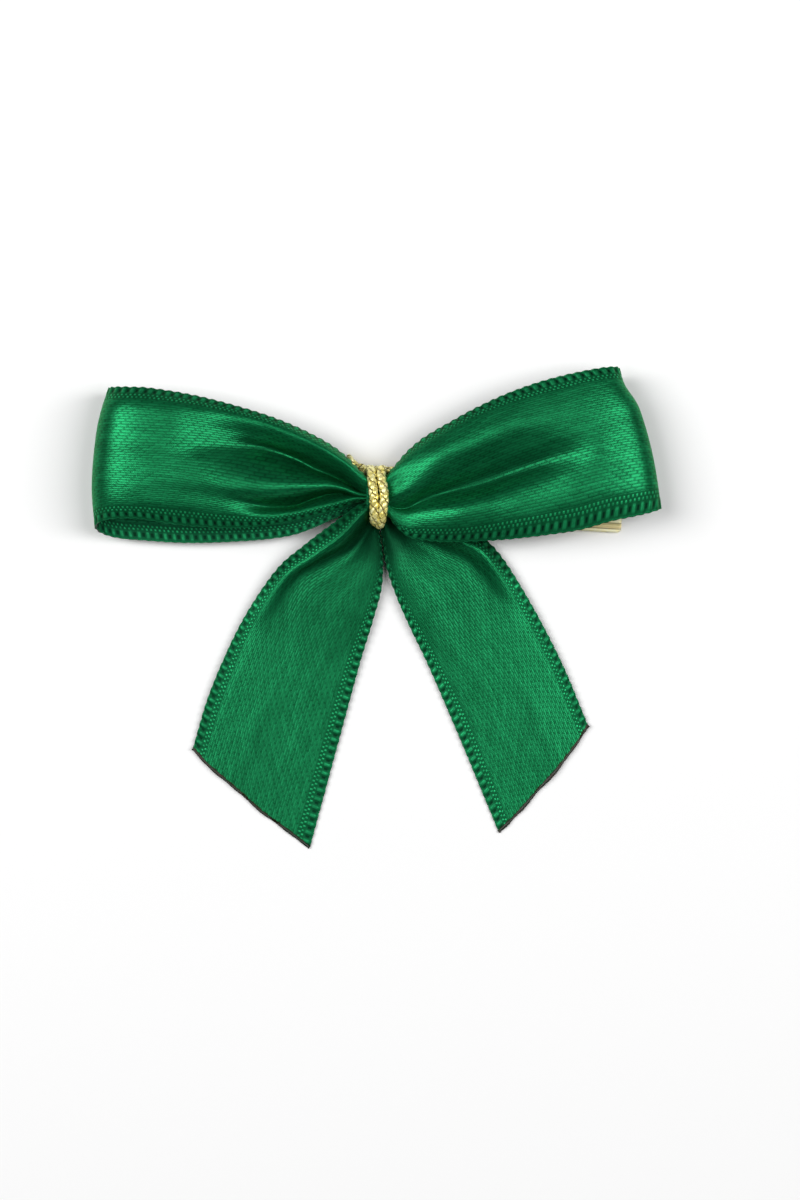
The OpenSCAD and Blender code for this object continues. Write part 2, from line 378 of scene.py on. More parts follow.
def loop_net(front, back_upper, back_lower, reach, rise, side, end_flatness):
    """The net of a whole loop: out along the front, round the end and back to the knot."""
    net = []
    for place, points in front:
        out, up, high = np.array(points, float).T
        out_steps = out_shares * points[-1][0]
        line = [(r, *smooth_curve(out, np.stack([up, high], 1), r)) for r in out_steps]
        share = place / flat_width
        top_r, top_y, top_z = points[-1]
        low_y, low_z = back_at(back_upper, back_lower, share, top_r)
        bulge = smooth_curve(*np.array(reach).T, share) - top_r
        for angle in np.linspace(0, math.pi, end_steps):
            blend = (1 - math.cos(angle)) / 2
            out = bulge * max(math.sin(angle), 0) ** end_flatness
            line.append((top_r + out, top_y + (low_y - top_y) * blend + rise * out,
                         top_z + (low_z - top_z) * blend))
        pleat = math.sin(share * back_pleats * math.pi)
        for r in reversed(out_steps):
            y, z = back_at(back_upper, back_lower, share, r)
            line.append((r, y, z + back_pleat_height * pleat * math.exp(-r / back_pleat_fade)))
        net.append([(side * r * MM, y * MM, z * MM) for r, y, z in line])
    return net, [place * MM for place, _ in front]


left_reach = [(0, 28.85), (0.1, 29.3), (0.25, 29.9), (0.5, 30.45), (0.75, 30.6), (1, 30.3)]
right_reach = [(0, 25.9), (0.17, 26.65), (0.3, 27.8), (0.5, 28.8), (0.75, 29.7), (1, 30.4)]
left_net, left_across = loop_net(
    left_front, left_back_upper, left_back_lower, left_reach, rise=0.05, side=-1, end_flatness=0.75)
right_net, right_across = loop_net(
    right_front, right_back_upper, right_back_lower, right_reach, rise=0.2, side=1, end_flatness=0.66)
ribbon_left_loop, left_along, _ = cloth_from_net("ribbon_left_loop", left_net, left_across, rows=380)
ribbon_right_loop, right_along, _ = cloth_from_net("ribbon_right_loop", right_net, right_across, rows=380)

# %% [markdown]
# ## The folds of the tails
# A tail comes out from under the cord as a narrow roll with one deep crease beside it, opens, and
# lies down flat. Its lines run from the outer edge to the inner edge, and each point is given as
# x, y and height. The end is cut on a slant and was sealed with a hot knife.

# %% Tails' folds
left_tail_lines = [
    (0.0, [(-0.5, -0.5, 4.7), (-2.3, -1.2, 4.4), (-4.8, -2.95, 3.3), (-7.95, -5.3, 2.3),
         (-11.1, -8.1, 1.4), (-14.9, -13.8, 0.8), (-18.2, -21.1, 0.6), (-20.1, -27.3, 0.3)]),
    (2.2, [(-0.7, -1.0, 5.0), (-1.8, -2.35, 5.0), (-3.9, -4.6, 4.2), (-6.7, -6.55, 3.15),
         (-10.1, -9.0, 2.1), (-13.4, -14.6, 0.95), (-16.3, -22.0, 0.65), (-18.45, -29.1, 0.35)]),
    (4.2, [(-0.6, -1.6, 4.1), (-1.2, -3.1, 3.2), (-3.2, -5.4, 2.35), (-6.0, -7.0, 2.0),
         (-9.0, -9.2, 1.55), (-11.9, -15.2, 0.95), (-14.5, -22.8, 0.6), (-16.75, -30.6, 0.35)]),
    (6.4, [(-0.5, -1.9, 3.4), (-0.9, -3.7, 2.7), (-2.6, -6.5, 2.05), (-4.8, -8.5, 1.8),
         (-7.6, -10.9, 1.45), (-10.0, -16.0, 0.9), (-12.6, -23.6, 0.6), (-14.85, -32.2, 0.3)]),
    (9.0, [(-0.3, -2.05, 3.0), (-0.6, -3.9, 2.4), (-1.4, -6.8, 1.9), (-3.0, -9.2, 1.7),
         (-5.2, -11.9, 1.4), (-7.6, -16.8, 0.9), (-10.2, -24.4, 0.5), (-12.75, -34.1, 0.25)]),
    (12.0, [(0.0, -2.15, 2.7), (-0.3, -3.95, 2.2), (-0.3, -6.7, 1.8), (-1.2, -9.4, 1.6),
         (-2.4, -12.6, 1.3), (-4.6, -17.6, 0.85), (-7.0, -25.1, 0.5), (-10.15, -36.0, 0.2)]),
    (15.0, [(0.2, -2.1, 2.2), (0.15, -3.9, 1.8), (0.5, -6.8, 1.4), (0.35, -10.0, 1.0),
         (-0.55, -13.4, 0.8), (-2.0, -18.2, 0.5), (-4.15, -26.1, 0.3), (-7.4, -38.1, 0.15)]),
]
right_tail_lines = [
    (0.0, [(0.9, -1.5, 2.6), (3.0, -2.2, 2.1), (6.5, -2.9, 1.6), (9.5, -3.9, 1.3), (12.4, -5.4, 1.1),
         (15.9, -10.4, 0.85), (19.75, -17.6, 0.6), (22.8, -24.8, 0.3)]),
    (2.0, [(0.85, -1.75, 2.9), (2.9, -2.7, 3.0), (6.0, -3.7, 3.0), (8.9, -4.85, 2.8), (11.5, -6.5, 2.4),
         (14.7, -11.3, 1.0), (18.4, -18.3, 0.65), (21.75, -26.5, 0.38)]),
    (4.0, [(0.8, -1.9, 2.5), (2.6, -3.2, 2.2), (5.4, -4.6, 1.9), (7.9, -5.8, 1.6), (10.3, -7.3, 1.4),
         (13.4, -12.1, 0.95), (17.1, -19.1, 0.65), (20.5, -28.2, 0.4)]),
    (6.0, [(0.7, -2.0, 2.7), (2.2, -3.6, 2.1), (4.5, -5.4, 1.7), (6.7, -7.0, 1.45), (9.0, -8.7, 1.3),
         (11.9, -13.0, 0.9), (15.7, -19.9, 0.65), (19.25, -29.8, 0.4)]),
    (8.5, [(0.5, -2.1, 2.5), (1.8, -4.0, 1.9), (3.3, -6.2, 1.5), (5.0, -8.1, 1.4), (7.0, -10.2, 1.25),
         (9.6, -14.2, 0.85), (13.6, -20.9, 0.6), (17.45, -31.75, 0.3)]),
    (11.5, [(0.3, -2.15, 2.3), (1.1, -4.25, 2.0), (2.0, -7.0, 1.6), (3.2, -9.4, 1.4),
         (4.9, -12.2, 1.15), (7.3, -16.1, 0.8), (11.0, -22.7, 0.5), (15.4, -34.1, 0.25)]),
    (15.0, [(0.1, -2.15, 1.9), (0.5, -4.5, 1.5), (1.0, -7.8, 1.2), (2.05, -10.9, 0.9),
         (3.45, -14.1, 0.7), (5.5, -18.4, 0.4), (8.7, -25.8, 0.3), (13.1, -36.4, 0.15)]),
]


def tail_piece(name, lines, painted_tail_shade):
    net = [[tuple(v * MM for v in point) for point in points] for _, points in lines]
    # Each tail gets painted shade under the knot.
    return cloth_from_net(name, net, [place * MM for place, _ in lines], rows=200, steady_row=70,
                        shade_under_knot=1.2, painted_tail_shade=painted_tail_shade)


# The left tail gets more painted shade all over than the right.
ribbon_left_tail, left_tail_along, left_tail_points = tail_piece(
    "ribbon_left_tail", left_tail_lines, painted_tail_shade=0.16)
ribbon_right_tail, right_tail_along, right_tail_points = tail_piece(
    "ribbon_right_tail", right_tail_lines, painted_tail_shade=0.05)

# %% [markdown]
# ## Small node helpers
# The materials are built from shader nodes. The helpers below only save typing: each adds a node,
# fills its sockets and hands back its output. What more than one material needs is a node group.

# %% Nodes and sockets


def add(tree, kind, **settings):
    node = tree.nodes.new(kind)
    for key, value in settings.items():
        setattr(node, key, value)
    return node


def fill(tree, socket, value):
    """Puts a number, a colour or another node's output into a socket."""
    if isinstance(value, bpy.types.NodeSocket):
        tree.links.new(value, socket)
    else:
        socket.default_value = value


def sockets(tree, ins, outs):
    """Names a node group's inputs, with their usual values, and its outputs."""
    for name, usual in ins.items():
        tree.interface.new_socket(name, in_out="INPUT", socket_type="NodeSocketFloat").default_value = usual
    for name in outs:
        tree.interface.new_socket(name, in_out="OUTPUT", socket_type="NodeSocketFloat")
    return tree.nodes.new("NodeGroupInput").outputs, tree.nodes.new("NodeGroupOutput").inputs


def use_group(tree, group, **values):
    node = add(tree, "ShaderNodeGroup", node_tree=group)
    for name, value in values.items():
        fill(tree, node.inputs[name], value)
    return node.outputs


def new_material(name):
    material = bpy.data.materials.new(name)
    material.use_nodes = True
    tree = material.node_tree
    return material, tree, tree.nodes["Principled BSDF"]


def set_finish(tree, shader, **values):
    """Fills the shader's sockets; an underscore in a name stands for a space."""
    for name, value in values.items():
        fill(tree, shader.inputs[name.replace("_", " ")], value)


# %% Sums and ramps


def maths(tree, operation, *values):
    node = add(tree, "ShaderNodeMath", operation=operation)
    for socket, value in zip(node.inputs, values):
        fill(tree, socket, value)
    return node.outputs[0]


def times(tree, first, second):
    return maths(tree, "MULTIPLY", first, second)


def plus(tree, first, second):
    return maths(tree, "ADD", first, second)


def one_less(tree, value):
    return maths(tree, "SUBTRACT", 1.0, value)


def half_wave(tree, value):
    """0 at every whole number and 1 halfway between two of them."""
    return maths(tree, "SINE", times(tree, maths(tree, "FRACT", value), math.pi))


def ramp(tree, value, low, high, to_low=0.0, to_high=1.0):
    node = add(tree, "ShaderNodeMapRange", interpolation_type="SMOOTHSTEP")
    for socket, number in zip(node.inputs, (value, low, high, to_low, to_high)):
        fill(tree, socket, number)
    return node.outputs[0]


def blend_colours(tree, share, first, second):
    node = add(tree, "ShaderNodeMix", data_type="RGBA")
    for socket, value in ((0, share), (6, first), (7, second)):
        fill(tree, node.inputs[socket], value)
    return node.outputs[2]


# %% Places, noise and relief


def uv_place(tree, uv_map):
    """The two parts of a UV map's place."""
    split = add(tree, "ShaderNodeSeparateXYZ")
    fill(tree, split.inputs[0], add(tree, "ShaderNodeUVMap", uv_map=uv_map).outputs[0])
    return split.outputs[0], split.outputs[1]


def flat_place(tree, uv_map="ribbon"):
    """The place that a UV map gives, in millimetres: across and along."""
    return tuple(times(tree, part, uv_unit / MM) for part in uv_place(tree, uv_map))


def object_place(tree):
    return add(tree, "ShaderNodeTexCoord").outputs["Object"]


def flat_vector(tree, across, along):
    node = add(tree, "ShaderNodeCombineXYZ")
    fill(tree, node.inputs[0], across)
    fill(tree, node.inputs[1], along)
    return node.outputs[0]


def noise(tree, place, scale, detail=2, dimensions="3D"):
    node = add(tree, "ShaderNodeTexNoise", noise_dimensions=dimensions)
    for name, value in (("Vector", place), ("Scale", scale), ("Detail", detail)):
        fill(tree, node.inputs[name], value)
    return node.outputs[0]


def random_value(tree, across, along):
    """A random number for each pair of whole numbers."""
    node = add(tree, "ShaderNodeTexWhiteNoise", noise_dimensions="2D")
    fill(tree, node.inputs[0], flat_vector(tree, across, along))
    return node.outputs[0]


def add_relief(tree, shader, height, strength, distance):
    bump = add(tree, "ShaderNodeBump")
    for name, value in (("Strength", strength), ("Distance", distance), ("Height", height)):
        fill(tree, bump.inputs[name], value)
    fill(tree, shader.inputs["Normal"], bump.outputs[0])


# %% [markdown]
# ## The satin weave
# Satin is shiny because most of its threads lie on top for a long way before they dive under a
# crossing thread. Each neighbour dives a little further on, which gives the fine slanted hatching.
# The group below draws one float after another: round across, and dipping at both ends.

# %% Satin weave group
satin_weave = bpy.data.node_groups.new("satin weave", "ShaderNodeTree")
given, result = sockets(
    satin_weave, {"Across": 0, "Along": 0, "Thread": 0.26, "Float": 1.2, "Shift": -0.375},
    ("Height", "Dive", "Gap", "Thread tone"),
)
threads = maths(satin_weave, "DIVIDE", given["Across"], given["Thread"])
thread_number = maths(satin_weave, "FLOOR", threads)
roundness = half_wave(satin_weave, threads)
floats = plus(satin_weave, maths(satin_weave, "DIVIDE", given["Along"], given["Float"]),
              times(satin_weave, thread_number, given["Shift"]))
arch = half_wave(satin_weave, floats)
fill(satin_weave, result["Height"], times(satin_weave, maths(satin_weave, "POWER", roundness, 0.6),
                                          maths(satin_weave, "POWER", arch, 0.35)))
fill(satin_weave, result["Dive"], ramp(satin_weave, arch, 0.6, 0.1))
fill(satin_weave, result["Gap"], ramp(satin_weave, roundness, 0.75, 0.1))
fill(satin_weave, result["Thread tone"],
     random_value(satin_weave, thread_number, maths(satin_weave, "FLOOR", floats)))
print("satin weave:", len(satin_weave.nodes), "nodes")

# %% [markdown]
# ## The selvedges
# The mesh has the selvedge's bars, and the group below colours them: a plain outer cord, a row of
# small holes between the bars, and two rows of fine stitches where the satin begins. Distances
# are in millimetres from the rim.

# %% Selvedge group
selvedge = bpy.data.node_groups.new("selvedge", "ShaderNodeTree")
given, result = sockets(
    selvedge, {"Across": 0, "Along": 0, "Width": flat_width, "Pitch": selvedge_pitch / MM},
    ("Band", "Bars", "Holes"),
)
from_far_rim = maths(selvedge, "SUBTRACT", given["Width"], given["Across"])
inward = maths(selvedge, "MINIMUM", given["Across"], from_far_rim)


def across_strip(first, last, soft=0.06):
    """1 between two distances in from the rim, fading over a soft width at both sides."""
    return times(selvedge, ramp(selvedge, inward, first - soft, first + soft),
                 ramp(selvedge, inward, last + soft, last - soft))


turns = times(selvedge, maths(selvedge, "DIVIDE", given["Along"], given["Pitch"]), 2 * math.pi)
bar_wave = maths(selvedge, "COSINE", turns)
stitch_wave = maths(selvedge, "COSINE", times(selvedge, turns, 2.0))
between_wave = times(selvedge, stitch_wave, -1.0)
bars = times(selvedge, ramp(selvedge, bar_wave, -0.1, 0.85), across_strip(0.26, 0.86, 0.14))
light_parts = times(selvedge, bars, 0.62)
for part in (
    times(selvedge, across_strip(-0.2, 0.12), 0.35),
    times(selvedge, ramp(selvedge, stitch_wave, -0.2, 0.7), across_strip(1.02, 1.22)),
    times(selvedge, ramp(selvedge, between_wave, -0.2, 0.7), across_strip(1.34, 1.54)),
):
    light_parts = maths(selvedge, "MAXIMUM", light_parts, part)
holes = times(selvedge, ramp(selvedge, bar_wave, -0.35, -0.85), across_strip(0.36, 0.76))
fill(selvedge, result["Band"], ramp(selvedge, inward, 1.74, 1.6))
fill(selvedge, result["Bars"], light_parts)
fill(selvedge, result["Holes"], holes)
print("selvedge:", len(selvedge.nodes), "nodes")

# %% [markdown]
# ## The ribbon's materials
# One material for the shiny face, one for the duller back, and one for the thin rim. The face is a
# dark, slightly bluish green that turns lighter where light glances off the floats, and painted shade
# deepens it in pleats and under the knot. The last quarter of a millimetre before a cut is singed.

# %% The middle of the ribbon
satin_green = (0.0050, 0.160, 0.052, 1)
satin_deep = (0.0006, 0.032, 0.011, 1)
satin_light = (0.02, 0.42, 0.15, 1)


def satin_colour(tree, across, along, weave, base):
    """Dark between the threads, a little cloudy, and faintly combed along them."""
    cloudy = noise(tree, flat_vector(tree, across, times(tree, along, 0.3)), 0.35, 3, "2D")
    combed = flat_vector(tree, times(tree, across, 3.4), times(tree, along, 0.16))
    filaments = noise(tree, combed, 1, dimensions="2D")
    low_parts = maths(tree, "MAXIMUM", times(tree, weave["Dive"], 0.65),
                      times(tree, weave["Gap"], 0.7))
    colour = blend_colours(tree, low_parts, base, satin_deep)
    for share, other in (
        (times(tree, weave["Thread tone"], 0.2), satin_light),
        (ramp(tree, cloudy, 0.35, 0.7, 0, 0.16), satin_deep),
        (ramp(tree, filaments, 0.5, 0.36, 0, 0.12), satin_deep),
        (ramp(tree, filaments, 0.5, 0.64, 0, 0.04), satin_light),
    ):
        colour = blend_colours(tree, share, colour, other)
    return colour


# %% A ribbon material
hole_dark = (0.0006, 0.018, 0.008, 1)
singed_brown = (0.022, 0.012, 0.005, 1)
relief_depth = 0.08 * MM


def ribbon_material(name, base, roughness, bump, painted_shade_strength, **finish):
    """One side of the ribbon; finish holds what is the same all over it."""
    material, tree, shader = new_material(name)
    across, along = flat_place(tree)
    weave = use_group(tree, satin_weave, Across=across, Along=along)
    edge = use_group(tree, selvedge, Across=across, Along=along)
    uneven = noise(tree, flat_vector(tree, across, along), 1.7, dimensions="2D")
    lit_bars = times(tree, edge["Bars"], ramp(tree, uneven, 0.3, 0.65, 0.45, 1))
    woven = blend_colours(tree, lit_bars, blend_colours(tree, 0.38, satin_deep, base),
                          blend_colours(tree, 0.85, base, satin_light))
    woven = blend_colours(tree, edge["Holes"], woven, hole_dark)
    plain = satin_colour(tree, across, along, weave, base)
    colour = blend_colours(tree, edge["Band"], plain, woven)
    # Painted shade: the colour deepens by the attribute, times the given strength.
    painted_shade = add(tree, "ShaderNodeAttribute", attribute_name="painted_shade").outputs["Fac"]
    colour = blend_colours(tree, times(tree, painted_shade, painted_shade_strength), colour, satin_deep)
    _, from_cut = flat_place(tree, "cut")
    ragged = plus(tree, from_cut, times(tree, weave["Thread tone"], 0.12))
    colour = blend_colours(tree, ramp(tree, ragged, 0.34, 0.16), colour, singed_brown)

    grain = times(tree, one_less(tree, edge["Band"]), weave["Height"])
    height = plus(tree, times(tree, grain, 0.5), times(tree, edge["Band"], edge["Bars"]))
    add_relief(tree, shader, height, bump, relief_depth)
    dull_edge = times(tree, edge["Band"], one_less(tree, lit_bars))
    dull = maths(tree, "MAXIMUM", times(tree, weave["Dive"], 0.5), dull_edge)
    rough = plus(tree, roughness, times(tree, dull, 0.15))
    set_finish(tree, shader, Base_Color=colour, Roughness=rough, **finish)
    return material


# %% Face, back and rim
green_glints = {"Specular_Tint": (0.2, 1, 0.5, 1),
                "Sheen_Roughness": 0.4, "Sheen_Tint": (0.2, 0.9, 0.45, 1)}
# The face takes painted shade; the back takes none.
satin_face = ribbon_material(
    "satin_face", satin_green, roughness=0.36, bump=0.34, painted_shade_strength=0.9,
    Metallic=0.64, Specular_IOR_Level=0.5, Sheen_Weight=0, **green_glints)
ribbon_back = ribbon_material(
    "ribbon_back", (0.008, 0.150, 0.060, 1), roughness=0.55, bump=0.6, painted_shade_strength=0,
    Metallic=0.25, Specular_IOR_Level=0.3, Sheen_Weight=0.1, **green_glints)
ribbon_rim, rim_tree, rim_shader = new_material("ribbon_rim")
rim_across, rim_along = flat_place(rim_tree)
rim_edge = use_group(rim_tree, selvedge, Across=rim_across, Along=rim_along)
set_finish(rim_tree, rim_shader, Roughness=0.6,
           Base_Color=blend_colours(rim_tree, rim_edge["Bars"], hole_dark, satin_deep))

for piece in (ribbon_left_loop, ribbon_right_loop, ribbon_left_tail, ribbon_right_tail):
    for material in (satin_face, ribbon_back, ribbon_rim):
        piece.data.materials.append(material)
    give_thickness(piece)
    print(piece.name, "materials:", len(piece.data.materials))

# %% [markdown]
# ## The ribbon in place of the model's parts
# Each loop and tail is fixed in place in world space, and the model's own parts for it are hidden.

# %% Placing the ribbon
knot_height = 3.37 * MM
for piece, side, name in ((ribbon_left_loop, -1, "left"), (ribbon_right_loop, 1, "right")):
    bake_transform(piece)
    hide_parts(*(f"{name}_loop_{part}" for part in ("gather", "front", "fold", "back")))
for piece, name, start, end in (
    (ribbon_left_tail, "left", (-1.1, -2.2, 2.4), (-3.6, -7.6, 1.4)),
    (ribbon_right_tail, "right", (1.0, -2.0, 2.4), (4.2, -6.6, 1.4)),
):
    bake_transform(piece)
    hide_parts(f"{name}_tail_gather", f"{name}_tail")
for piece, along in ((ribbon_left_loop, left_along), (ribbon_right_loop, right_along),
                     (ribbon_left_tail, left_tail_along), (ribbon_right_tail, right_tail_along)):
    print(piece.name, "flat:", round(ribbon_width / MM, 1), "x", round(float(along.max()) / MM, 1), "mm")

# %% [markdown]
# ## Tubes
# The cord's strands, the tie's wire and the melted rim of a cut are all thin tubes. Each is a flat
# grid rolled round a path and welded along its seam, with its ends closed. A frame is carried
# along the path without twisting, so that the tube never pinches.

# %% Tube


def carried_frame(path):
    """Two side directions for each point of a path, carried along it without twisting."""
    forward = unit(np.gradient(path, axis=0))
    side = unit(np.cross(forward[0], (0.3, 0.5, 0.8)))
    sides = []
    for direction in forward:
        side = unit(side - direction * np.dot(side, direction))
        sides.append(side)
    return np.array(sides), np.cross(forward, sides)


def path_lengths(path):
    return np.concatenate([[0], np.cumsum(np.linalg.norm(np.diff(path, axis=0), axis=1))])


seam_gap = 1e-7


def add_tube(shape, path, radius, around=10):
    """A grid rolled round a path, with one radius or one for each point."""
    path = np.asarray(path, float)
    side, other = carried_frame(path)
    radius = np.broadcast_to(radius, len(path))
    lengths = path_lengths(path)
    uv_map = shape.loops.layers.uv.get("thread") or shape.loops.layers.uv.new("thread")
    places = {}
    for vertex, column, row in laid_grid(shape, around, len(path) - 1):
        share = column / around
        turn = 2 * math.pi * share
        places[vertex] = (share, lengths[row] / uv_unit)
        vertex.co = path[row] + radius[row] * (math.cos(turn) * side[row] + math.sin(turn) * other[row])
    keep_places({face for vertex in places for face in vertex.link_faces}, uv_map, places)
    bmesh.ops.remove_doubles(shape, verts=list(places), dist=seam_gap)
    open_edges = [edge for edge in shape.edges if edge.is_boundary]
    bmesh.ops.holes_fill(shape, edges=open_edges, sides=0)


def tube_piece(name, paths, radius, around=10):
    shape = bmesh.new()
    for path in paths:
        add_tube(shape, path, radius, around)
    bmesh.ops.recalc_face_normals(shape, faces=shape.faces)
    return finished(name, shape)


# %% [markdown]
# ## Sealed ends
# The slanted cuts were made with a hot knife. The melted threads run together into a dark, slightly
# uneven bead, thicker at the two corners. It follows the last row of the tail's own grid.

# %% Sealed ends
chance = np.random.default_rng(15)
bead_radius, bead_unevenness, corner_blob = 0.155, 0.03, 0.05
thinnest_bead, thickest_bead = 0.09, 0.23
sealed_ends = {}
for name, points in (("left", left_tail_points), ("right", right_tail_points)):
    rim = points[:, -1]
    uneven = np.convolve(chance.normal(size=len(rim) + 4), np.ones(5) / 2.2, "valid")
    bead = bead_radius + bead_unevenness * uneven
    bead[:2] += corner_blob
    bead[-2:] += corner_blob
    sealed_ends[name] = tube_piece(f"sealed_end_{name}", [rim],
                                   np.clip(bead, thinnest_bead, thickest_bead) * MM, around=8)
print("sealed ends:", len(sealed_ends))

# %% [markdown]
# ## The gathered bundle
# Under the cord the ribbon's layers are squeezed into a round bundle with a flat underside, where
# it sits on the twist tie. It is a tube along X whose wall is pushed in and out by the pleats.

# %% Bundle
bundle_low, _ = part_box("knot_gather")
bundle_radius = 2.22 * MM
bundle_half = 1.18 * MM
waist_depth = 0.12 * MM
bundle_pleats, pleat_valley, pleat_rise = 11, 0.93, 0.07
bundle_x = np.linspace(-bundle_half, bundle_half, 25)
waist = bundle_radius - waist_depth * np.cos(bundle_x / bundle_half * math.pi / 2)
bundle_shape = bmesh.new()
add_tube(bundle_shape, [(x, 0, knot_height) for x in bundle_x], waist, around=96)
for vertex in bundle_shape.verts:
    turn = math.atan2(vertex.co.y, vertex.co.z - knot_height)
    pleat = pleat_valley + pleat_rise * abs(math.sin(bundle_pleats / 2 * turn)) ** 0.6
    vertex.co.y *= pleat
    vertex.co.z = max(knot_height + (vertex.co.z - knot_height) * pleat, bundle_low.z)
bmesh.ops.recalc_face_normals(bundle_shape, faces=bundle_shape.faces)
ribbon_bundle = finished("ribbon_bundle", bundle_shape)
print("bundle radius", round(bundle_radius / MM, 2), "mm")

# %% [markdown]
# ## The metallic cord
# The cord is three strands twisted together, and each strand is a thread wrapped in narrow metallic
# film. The cord's path is drawn first, and the strands wind round it. A radius a little under a
# third of the cord's own keeps the dark valleys between them.

# %% Twisted strands
cord_radius = 0.52 * MM
strand_radius = 0.32 * MM
strand_pitch = 2.5 * MM
strand_wander, wander_pace = 0.12, 0.37


def strands_round(path, spread=None):
    """Three paths that wind round one; spread is how far out they lie at each point."""
    side, other = carried_frame(path)
    out = np.broadcast_to(cord_radius - strand_radius if spread is None else spread, len(path))[:, None]
    turn = 2 * math.pi * path_lengths(path) / strand_pitch
    paths = []
    for strand in range(3):
        at = (turn + 2 * math.pi * strand / 3)[:, None]
        wander = 1 + strand_wander * np.sin(at * wander_pace + strand)
        paths.append(path + out * wander * (np.cos(at) * side + np.sin(at) * other))
    return paths


# %% [markdown]
# Two turns lie side by side on the front. At the back the first turn crosses over to the place of
# the second, and both ends leave for the knot, behind the upper left of the bundle.

# %% Cord turns
turn_radius = 2.845 * MM
lowest_turn = 0.53 * MM
turn_stations = [-40, -15, 0, 45, 90, 135, 180, 225, 270, 315, 360, 405, 450, 495, 540, 580, 610, 640,
                 668, 682]
turn_x = [-1.5, -0.95, -0.70, -0.66, -0.40, -0.40, -0.28, -0.40, -0.05, 0.42, 0.44, 0.40, 0.68, 0.50,
          0.18, 0.42, 0.52, 0.45, -0.3, -1.5]
turn_out = [0.35, 0.1, 0, 0, 0.05, 0, -0.05, 0, 0, 0, 0, 0.04, 0, 0.08, 0.2, 0.06, 0, 0.1, 0.75, 0.95]
angles = np.linspace(turn_stations[0], turn_stations[-1], 440)
cord_x, cord_out = smooth_curve(turn_stations, np.array([turn_x, turn_out]).T, angles).T * MM
cord_turn_angle = np.radians(angles)
turns_path = np.stack([cord_x, (turn_radius + cord_out) * np.cos(cord_turn_angle),
                       knot_height + (turn_radius + cord_out) * np.sin(cord_turn_angle)], axis=1)
turns_path[:, 2] = np.maximum(turns_path[:, 2], lowest_turn)
gold_turns = tube_piece("gold_cord_turns", strands_round(turns_path), strand_radius)
print("cord round the bundle:", round(path_lengths(turns_path)[-1] / MM, 1), "mm")

# %% [markdown]
# The knot is a plain overhand knot pulled tight: a trefoil of the same three strands. The two
# trimmed ends leave it, and their strands open a little where they were cut.

# %% Knot and ends
knot_low, knot_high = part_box("cord_knot")
knot_middle = np.array((knot_low + knot_high) / 2)
knot_turn = np.linspace(0, 2 * math.pi, 150)
trefoil = np.stack([np.sin(knot_turn) + 2 * np.sin(2 * knot_turn),
                    np.cos(knot_turn) - 2 * np.cos(2 * knot_turn), -1.1 * np.sin(3 * knot_turn)], axis=1)
knot_path = trefoil * 0.19 * MM + knot_middle
gold_knot = tube_piece("gold_cord_knot", strands_round(knot_path, 0.14 * MM), 0.19 * MM, around=8)


end_spread = 0.2 * MM
end_strand_radius = 0.24 * MM


def cord_end(name, points, opening):
    points = np.array(points) * MM
    at = np.arange(len(points))
    path = smooth_curve(at, points, np.linspace(0, at[-1], 50))
    spread = end_spread + opening * MM * np.linspace(0, 1, len(path)) ** 2
    return tube_piece(name, strands_round(path, spread), end_strand_radius)


long_end = [(-2.2, 3.2, 0.95), (-2.7, 3.6, 1.0), (-3.05, 3.95, 1.05), (-3.35, 4.1, 1.0)]
short_end = [(-1.6, 2.95, 0.8), (-0.5, 2.9, 0.6), (0.9, 2.85, 0.55), (2.2, 2.8, 0.55)]
gold_end_long = cord_end("gold_cord_end_long", long_end, 0.16)
gold_end_short = cord_end("gold_cord_end_short", short_end, 0.1)
print("cord ends:", gold_end_long.name, gold_end_short.name)

# %% [markdown]
# ## The gold material
# The film round each strand is wound in narrow flat steps, and each step catches the light on its
# own. A group gives the winding's height and a random value for each step, and the material turns
# them into relief, roughness and two golds: pale where the film faces out, brown in the joins.

# %% Metallic thread group
metal_thread = bpy.data.node_groups.new("metallic thread", "ShaderNodeTree")
given, result = sockets(metal_thread, {"Around": 0, "Along": 0, "Step": 0.7}, ("Height", "Step tone"))
winding = plus(metal_thread, maths(metal_thread, "DIVIDE", given["Along"], given["Step"]), given["Around"])
step_tone = random_value(metal_thread, maths(metal_thread, "FLOOR", winding),
                         maths(metal_thread, "FLOOR", times(metal_thread, given["Around"], 4.0)))
fill(metal_thread, result["Height"], maths(metal_thread, "POWER", half_wave(metal_thread, winding), 0.5))
fill(metal_thread, result["Step tone"], step_tone)

# %% Gold cord material
gold_pale = (1.0, 0.96, 0.48, 1)
gold_warm = (0.95, 0.81, 0.21, 1)
gold_brown = (0.20, 0.14, 0.03, 1)
gold_thread, gold_tree, gold_shader = new_material("gold_thread")
around_strand, along_strand = uv_place(gold_tree, "thread")
wound = use_group(gold_tree, metal_thread, Around=around_strand,
                  Along=times(gold_tree, along_strand, uv_unit / MM))
film = blend_colours(gold_tree, wound["Step tone"], gold_warm, gold_pale)
film = blend_colours(gold_tree, ramp(gold_tree, wound["Height"], 0.75, 0.3), film, gold_brown)
gold_rough = plus(gold_tree, 0.2, times(gold_tree, wound["Step tone"], 0.25))
set_finish(gold_tree, gold_shader, Base_Color=film, Metallic=0.5, Roughness=gold_rough)
gold_bumps = plus(gold_tree, wound["Height"], times(gold_tree, wound["Step tone"], 0.8))
add_relief(gold_tree, gold_shader, gold_bumps, 0.9, relief_depth)

for piece, nodes in ((gold_turns, ("cord_turn_left", "cord_turn_right")), (gold_knot, ("cord_knot",)),
                     (gold_end_long, ("cord_end_long",)), (gold_end_short, ("cord_end_short",))):
    piece.data.materials.append(gold_thread)
    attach(piece, "knot")
    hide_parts(*nodes)

# %% [markdown]
# The bundle is the same ribbon, so it needs the ribbon's UV map as well: its layers lie along X.
# The melted beads get a dark, half shiny plastic of their own.

